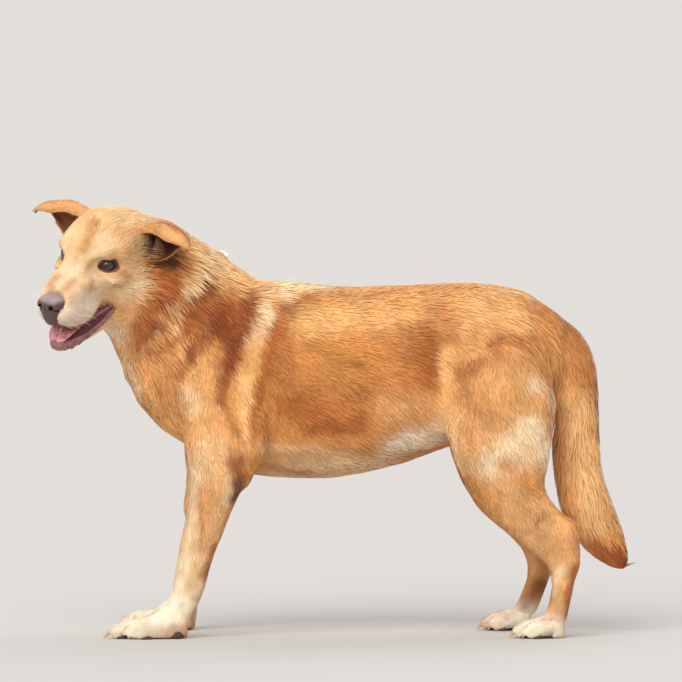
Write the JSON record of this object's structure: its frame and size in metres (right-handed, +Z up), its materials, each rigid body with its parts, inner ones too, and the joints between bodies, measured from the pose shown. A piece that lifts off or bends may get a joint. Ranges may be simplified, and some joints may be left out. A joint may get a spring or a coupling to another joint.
{
  "type": "dog",
  "caption": "Life-size still model of a standing, stout, short-haired ginger mixed-breed dog, head turned to its left, mouth open and tail hanging.",
  "frame": {"origin": "on the floor, under the middle of the model's whole length and width", "axes": "+Z up; the dog looks along -X, its left side is at -Y; the tail is at +X"},
  "size_m": [0.7908, 0.2815, 0.5788],
  "materials": {
    "coat": "short dense fur, ginger to cream, matt",
    "pale_coat": "short cream fur, matt",
    "nose_leather": "moist pebbled skin, satin",
    "eye": "wet and clear over a dark brown iris",
    "tongue": "wet pink skin, satin",
    "collar_web": "narrow off-white woven webbing"
  },
  "bodies": {
    "root": {"trunk": "coat", "neck": "coat", "head": "coat", "collar": "collar_web", "lower_jaw": "pale_coat", "tongue": "tongue", "nose": "nose_leather", "tail": "coat", "eye_left": "eye", "ear_left": "coat", "foreleg_left": "coat", "forepaw_left": "pale_coat", "hind_leg_left": "coat", "hind_paw_left": "pale_coat", "eye_right": "eye", "ear_right": "coat", "foreleg_right": "coat", "forepaw_right": "pale_coat", "hind_leg_right": "coat", "hind_paw_right": "pale_coat"}
  },
  "joints": []
}
